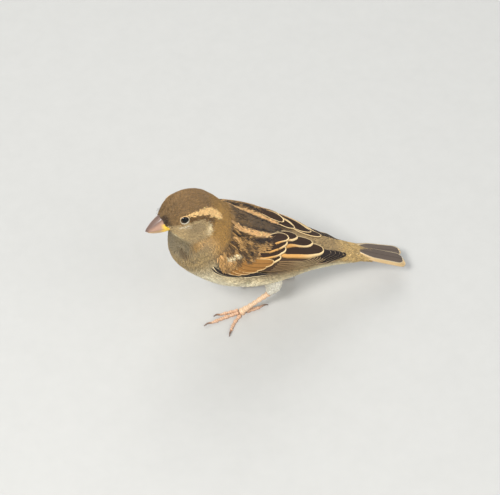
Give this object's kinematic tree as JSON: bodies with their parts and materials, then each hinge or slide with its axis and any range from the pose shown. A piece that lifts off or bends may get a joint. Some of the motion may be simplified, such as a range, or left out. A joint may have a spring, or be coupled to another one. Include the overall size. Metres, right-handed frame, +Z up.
{
  "type": "bird model",
  "caption": "Life-size still model of a female house sparrow standing with folded wings, head turned slightly to its left, for display on a flat surface.",
  "frame": {"origin": "bottom centre of the bounding box, on the floor under the middle of the bird's length", "axes": "-X ahead, the way the bird faces; -Y its left side; +Z up from the floor"},
  "size_m": [0.1386, 0.0472, 0.0906],
  "materials": {
    "head_feathers": "olive-brown crown, buff brow stripe, grey-buff cheek, fine soft feathers",
    "neck_feathers": "ochre-brown nape and buff-grey throat feathers",
    "breast_feathers": "buff-grey breast and streaked brown mantle feathers",
    "belly_feathers": "cream belly and flank feathers, brown back",
    "rump_feathers": "olive-buff rump and tail coverts",
    "covert_feathers": "dark-centred coverts with rufous-buff fringes",
    "secondary_feathers": "dark brown tertials and secondaries with buff fringes",
    "primary_feathers": "blackish primaries with pale tips",
    "tail_feathers": "grey-brown tail feathers with buff outer fringes",
    "shin_feathers": "whitish downy feathers",
    "eye": "glossy dark brown, nearly black",
    "upper_bill_horn": "pinkish horn, satin",
    "lower_bill_horn": "yellowish horn, satin",
    "leg_skin": "scaly pinkish flesh",
    "claw_horn": "dark brown horn"
  },
  "bodies": {
    "root": {"head": "head_feathers", "neck": "neck_feathers", "breast": "breast_feathers", "belly": "belly_feathers", "rump": "rump_feathers", "tail": "tail_feathers", "upper_mandible": "upper_bill_horn", "lower_mandible": "lower_bill_horn", "left_eye": "eye", "left_wing_coverts": "covert_feathers", "left_wing_secondaries": "secondary_feathers", "left_wing_primaries": "primary_feathers", "left_shin": "shin_feathers", "left_tarsus": "leg_skin", "left_inner_toe": "leg_skin", "left_inner_claw": "claw_horn", "left_middle_toe": "leg_skin", "left_middle_claw": "claw_horn", "left_outer_toe": "leg_skin", "left_outer_claw": "claw_horn", "left_hind_toe": "leg_skin", "left_hind_claw": "claw_horn", "right_eye": "eye", "right_wing_coverts": "covert_feathers", "right_wing_secondaries": "secondary_feathers", "right_wing_primaries": "primary_feathers", "right_shin": "shin_feathers", "right_tarsus": "leg_skin", "right_inner_toe": "leg_skin", "right_inner_claw": "claw_horn", "right_middle_toe": "leg_skin", "right_middle_claw": "claw_horn", "right_outer_toe": "leg_skin", "right_outer_claw": "claw_horn", "right_hind_toe": "leg_skin", "right_hind_claw": "claw_horn"}
  },
  "joints": []
}
